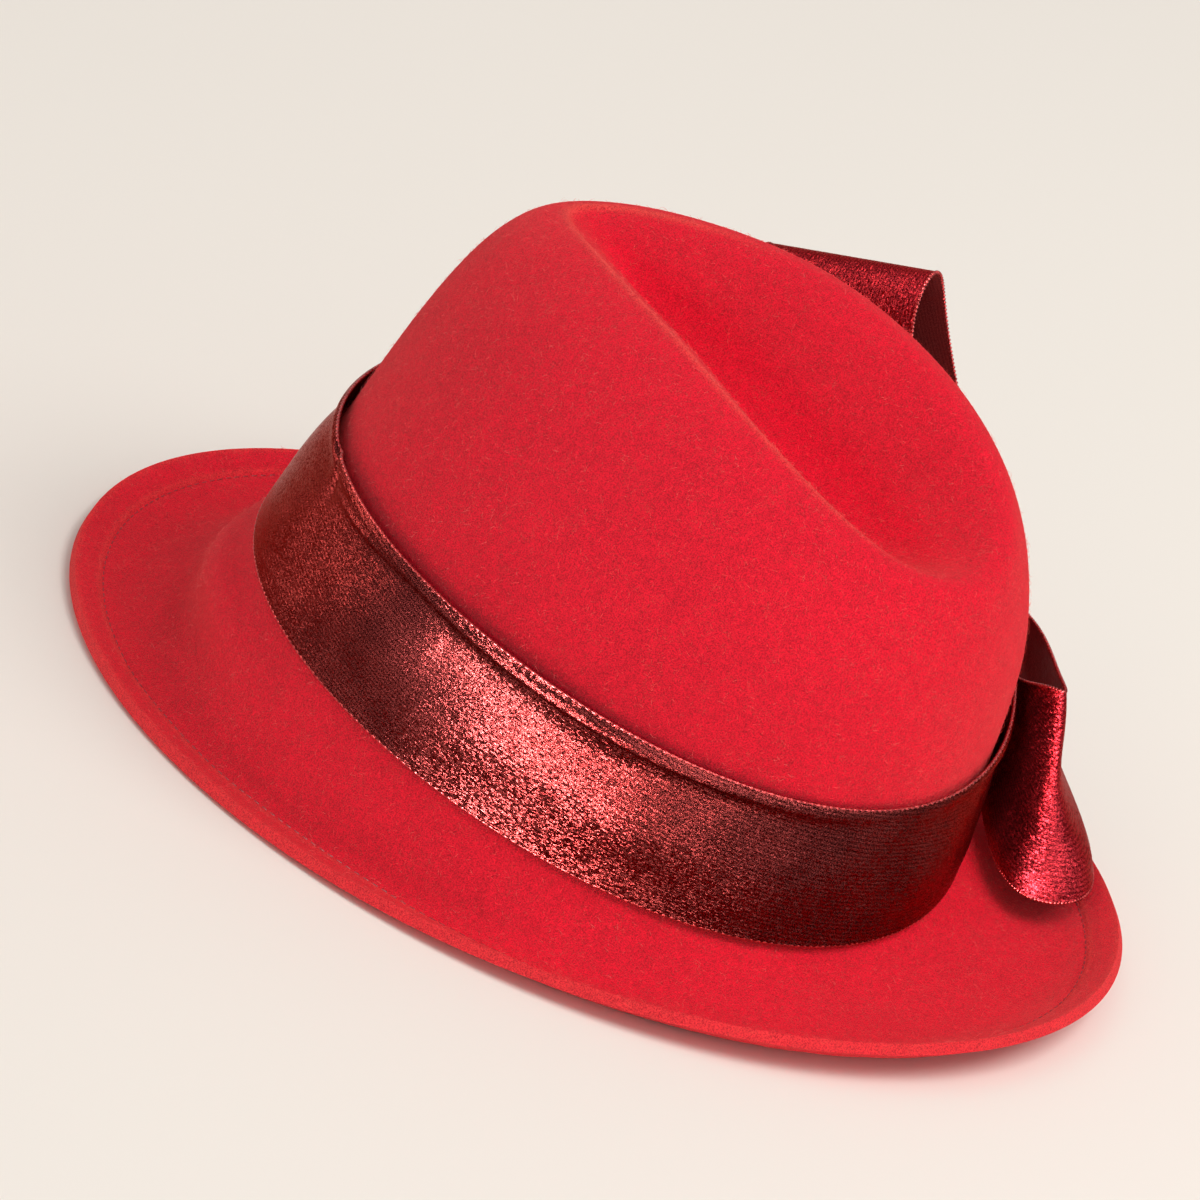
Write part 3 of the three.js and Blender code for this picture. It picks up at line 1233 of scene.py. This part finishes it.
@dataclass
class RibbonLoop:
    """One loop of the bow: a folded length of satin ribbon with picot edges."""

    name: str
    node: str
    rows: tuple[Row, ...]
    knot: KnotForm = KnotForm()
    across: int = 44
    along: int = 200
    thickness: float = 0.5 * MM
    picot_step: float = 0.26 * MM
    pleat: float = 0.9 * MM
    pleats: float = 2.5
    pleated: float = 30 * MM
    swells: tuple[tuple[float, float, float], ...] = ()
    face: SatinFinish = BOW_SATIN
    back: SatinFinish = BOW_BACK
    edging: Edging = Edging(0.36 * MM, 0.5, Slot.BOW)

    def lattice(self, stations: Array, shares: Array) -> Array:
        """Return points on the ribbon.

        Args:
            stations: Places along it, one for each point of a row, stations by shares.
            shares: Places across it, from 0 to 1.

        Returns:
            An array of shares by stations by 3, in metres.
        """
        table = np.array(self.rows, dtype=float)
        blended = blend_rows(table, stations.ravel()).reshape(*stations.shape, 6)
        share = shares[:, None, None]
        return (blended[..., :3] * (1 - share) + blended[..., 3:] * share) * MM

    def trimmed(self, shares: Array) -> Array:
        """Return stations that start and end at the knot, shares by along."""
        last = len(self.rows) - 1
        fine = np.linspace(0, last, 1200)
        whole = self.lattice(np.tile(fine, (len(shares), 1)), shares)
        free = ~self.knot.inside(whole, 0.6)
        start = fine[np.argmax(free, axis=1)]
        end = fine[len(fine) - 1 - np.argmax(free[:, ::-1], axis=1)]
        steps = np.linspace(0, 1, self.along)[None, :]
        return start[:, None] * (1 - steps) + end[:, None] * steps

    def surface(self) -> Array:
        """Return the middle of the ribbon, pleated where it enters the knot."""
        shares = np.linspace(0, 1, self.across)
        points = self.lattice(self.trimmed(shares), shares)
        normals = grid_normals(points, closed=False)
        share = shares[:, None]
        if np.sum((points - points.mean(axis=(0, 1))) * normals) < 0:
            points = points[::-1]
            share = 1 - share
            normals = grid_normals(points, closed=False)
        run = run_lengths(points, axis=1)
        fold = bump_at(run / run[:, -1:], 0.5, 0.3)
        for at, spread, height in self.swells:
            points = points + normals * (bump_at(share, at, spread) * fold * height)[..., None]
        ends = np.minimum(run, run[:, -1:] - run)
        pinned = np.sin(share * math.pi) ** 0.5
        near = 1 - smooth_step(0, self.pleated, ends)
        pleats = np.cos(share * FULL_TURN * self.pleats) * near * pinned
        return points + normals * (pleats * self.pleat)[..., None]

    def build(self) -> None:
        """Model the ribbon with its shiny face, dull back and picot edges."""
        points = self.surface()
        along = run_lengths(points, axis=1)
        up = run_lengths(points, axis=0)
        half = self.thickness / 2
        normals = grid_normals(points, closed=False)
        piece = grid_piece(self.name, points + normals * half, np.stack([along, up], -1))
        for _ in (self.face, self.back):
            piece.data.materials.append(None)
        thicken(piece, self.thickness, material_offset=1, material_offset_rim=1)
        smooth(piece, 60)
        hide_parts(self.node)
        dress(piece, Slot.BOW, self.face.material(), self.back.material())
        for which, path in (("low", points[0]), ("top", points[-1])):
            run = run_lengths(path[None], axis=1)[0]
            places = np.arange(0, run[-1], self.picot_step)
            name = f"{self.name}_picot_{which}"
            self.edging.run(name, path, run, places, closed=False)


@dataclass
class Knot:
    """The ribbon that wraps the middle of the bow."""

    form: KnotForm = KnotForm()
    band: RibbonBand = field(default_factory=RibbonBand)
    clearance: float = 0.4 * MM
    pleats: int = 4
    pleat_depth: float = 0.9 * MM
    finish: SatinFinish = BOW_SATIN

    def build(self) -> None:
        """Model the wrap."""
        ball = {"segments": 96, "ring_count": 72, "radius": 1.0}
        piece = primitive(bpy.ops.mesh.primitive_uv_sphere_add, "bow_knot_wrap", **ball)
        unit = vertices_of(piece)
        square = np.sign(unit) * np.abs(unit) ** self.form.squareness
        around = np.arctan2(unit[:, 1], unit[:, 0])
        fold = np.cos(unit[:, 2] * math.pi * self.pleats + 0.5 * np.sin(around * 2))
        depth = (fold - 1) / 2 * self.pleat_depth * np.clip(1 - np.abs(unit[:, 2]) ** 6, 0, 1)
        points = square * np.array(self.form.half) * MM
        level = unit[:, :2] / np.maximum(np.linalg.norm(unit[:, :2], axis=1, keepdims=True), 1e-6)
        points[:, :2] += level * depth[:, None]
        turn = Matrix.Rotation(math.radians(self.form.turn), 3, "Z")
        points = points @ np.array(turn).T + np.array(self.form.centre) * MM
        points[:, 0] = np.minimum(points[:, 0], self._band_reach(points) - self.clearance)
        move_vertices(piece, points)
        flat = np.stack([points[:, 1] - points[:, 0] * 0.6, points[:, 2]], -1)
        lay_cloth(piece, flat)
        smooth(piece, 60)
        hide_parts("bow_knot")
        dress(piece, Slot.BOW, self.finish.material())

    def _band_reach(self, points: Array) -> Array:
        """Return the band's outer face as an X for each point's Y and Z."""
        skin = self.band.surface()
        side = skin[:, skin[0, :, 0] < 0].reshape(-1, 3)
        reach = np.empty(len(points))
        for start in range(0, len(points), 500):
            part = slice(start, start + 500)
            away = ((side[None, :, 1:] - points[part, None, 1:]) ** 2).sum(axis=-1)
            near = np.argsort(away, axis=1)[:, :4]
            reach[part] = side[near, 0].min(axis=1)
        return reach


@dataclass
class Bow:
    """The two loops and their knot."""

    upper: RibbonLoop = field(
        default_factory=lambda: RibbonLoop(
            "bow_loop_standing",
            "bow_loop_upper",
            (
                (-92, 34, 50, -93, 20, 52),
                (-92, 25, 76, -93, -11, 76),
                (-78.5, 4, 104, -82, -46, 92),
                (-82, 1, 125.5, -83, -50, 107),
                (-94.5, -2, 126, -94.5, -53, 107),
                (-100, 0, 109, -100, -47, 93),
                (-102, 19, 80, -103, -17, 76),
                (-100, 36, 50, -101, 20, 52),
            ),
        )
    )
    lower: RibbonLoop = field(
        default_factory=lambda: RibbonLoop(
            "bow_loop_lying",
            "bow_loop_lower",
            (
                (-93, 34, 38, -92, 33, 52),
                (-80, 62, 19, -80, 57, 50),
                (-56, 88, 10, -68, 71, 48),
                (-45, 108, 9, -60, 86, 58),
                (-63, 118, 10, -61, 93.5, 58),
                (-82, 101, 12, -75, 79.5, 54),
                (-96, 72, 20, -90, 62, 56),
                (-102, 34, 38, -101, 33, 52),
            ),
            swells=((0.52, 0.3, -4.2 * MM), (0.1, 0.16, 1.5 * MM)),
        )
    )
    knot: Knot = field(default_factory=Knot)

    def build(self) -> None:
        """Build the knot, then the loops that leave it."""
        self.knot.build()
        self.upper.build()
        self.lower.build()


@dataclass(frozen=True)
class Lamp:
    """A square light: its direction, distance and side in metres, power in watts and colour."""

    name: str
    way: tuple[float, ...]
    distance: float
    size: float
    power: float
    colour: Colour
    reach: Reach = Reach.GLOSS


@dataclass
class Studio:
    """The pale floor, the soft lights and the camera."""

    azimuth: float = 122.0
    elevation: float = 26.3762
    roll: float = 17.8786
    distance: float = 2090.12 * MM
    aside: float = 2.633 * MM
    above: float = 41.48 * MM
    forward: float = 1.5 * MM
    lens: float = 247.2
    lamp_aim: float = 60.0 * MM
    floor_size: float = 30.0
    floor: FloorFinish = FloorFinish()
    sky: Colour = (0.93, 0.90, 0.86)
    sky_strength: float = 0.62
    lamps: tuple[Lamp, ...] = (
        Lamp("key", (0.94, 0.03, 0.34), 2.0, 0.3, 104, (1.0, 0.96, 0.93)),
        Lamp("bow", (0.9, 0.38, 0.26), 2.0, 0.3, 120, (1.0, 0.68, 0.64)),
        Lamp("side", (0.45, 0.84, 0.34), 2.2, 0.4, 20, (1.0, 0.8, 0.74)),
        Lamp("front", (0.26, -0.92, 0.38), 2.0, 0.9, 18, (1.0, 0.72, 0.62)),
    )

    def axes(self) -> tuple[Vector, Vector, Vector]:
        """Return the picture's right, up and towards-the-camera directions."""
        az, el, roll = (math.radians(x) for x in (self.azimuth, self.elevation, self.roll))
        back = Vector((math.sin(az) * math.cos(el), -math.cos(az) * math.cos(el), math.sin(el)))
        right = Vector((math.cos(az), math.sin(az), 0.0))
        up = back.cross(right)
        c, s = math.cos(roll), math.sin(roll)
        return c * right + s * up, c * up - s * right, back

    def build_camera(self) -> None:
        """Place the camera at the picture's angle."""
        right, up, back = self.axes()
        data = bpy.data.cameras.new("camera")
        data.lens = self.lens
        data.sensor_width = 36.0
        data.sensor_fit = "HORIZONTAL"
        data.clip_end = 100.0
        camera = bpy.data.objects.new("camera", data)
        turn = Matrix((right, up, back)).transposed().to_4x4()
        place = back * self.distance + right * self.aside + up * self.above
        turn.translation = place + Vector((0, self.forward, 0))
        camera.matrix_world = turn
        bpy.context.scene.collection.objects.link(camera)
        bpy.context.scene.camera = camera

    def build_floor(self) -> None:
        """Lay the floor."""
        floor = primitive(bpy.ops.mesh.primitive_plane_add, "floor", size=self.floor_size)
        floor.data.materials.append(self.floor.material())

    def add_light(self, lamp: Lamp) -> None:
        """Hang a soft light that faces the hat.

        Args:
            lamp: What the light is like and where it hangs.
        """
        data = bpy.data.lights.new(lamp.name, "AREA")
        data.shape = "SQUARE"
        data.size = lamp.size
        data.energy = lamp.power
        data.color = lamp.colour
        light = bpy.data.objects.new(lamp.name, data)
        way = Vector(lamp.way).normalized()
        light.location = way * lamp.distance + Vector((0, 0, self.lamp_aim))
        light.rotation_mode = "QUATERNION"
        light.rotation_quaternion = (-way).to_track_quat("-Z", "Y")
        light.visible_diffuse = lamp.reach is Reach.ALL
        bpy.context.scene.collection.objects.link(light)

    def build_lights(self) -> None:
        """Light the hat from the picture's upper right, with small lamps for the satin alone."""
        right, up, back = self.axes()
        way = tuple(right * 0.68 + up * 0.48 + back * 0.5)
        self.add_light(Lamp("window", way, 2.2, 1.3, 31, (1.0, 0.98, 0.96), Reach.ALL))
        for lamp in self.lamps:
            self.add_light(lamp)
        world = bpy.data.worlds.new("studio")
        world.use_nodes = True
        background = world.node_tree.nodes["Background"]
        background.inputs["Color"].default_value = (*self.sky, 1.0)
        background.inputs["Strength"].default_value = self.sky_strength
        bpy.context.scene.world = world
        bpy.context.scene.view_settings.view_transform = "Standard"

    def build(self) -> None:
        """Build the studio."""
        self.build_camera()
        self.build_floor()
        self.build_lights()


def main() -> None:
    """Build the hat and its studio, piece by piece."""
    logging.basicConfig(level=logging.INFO, format="%(name)s: %(message)s")
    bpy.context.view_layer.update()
    for part in (Studio(), FeltBody(), RibbonBand(), Bow()):
        part.build()
        log.info("%s done", type(part).__name__)


if __name__ == "__main__":
    main()
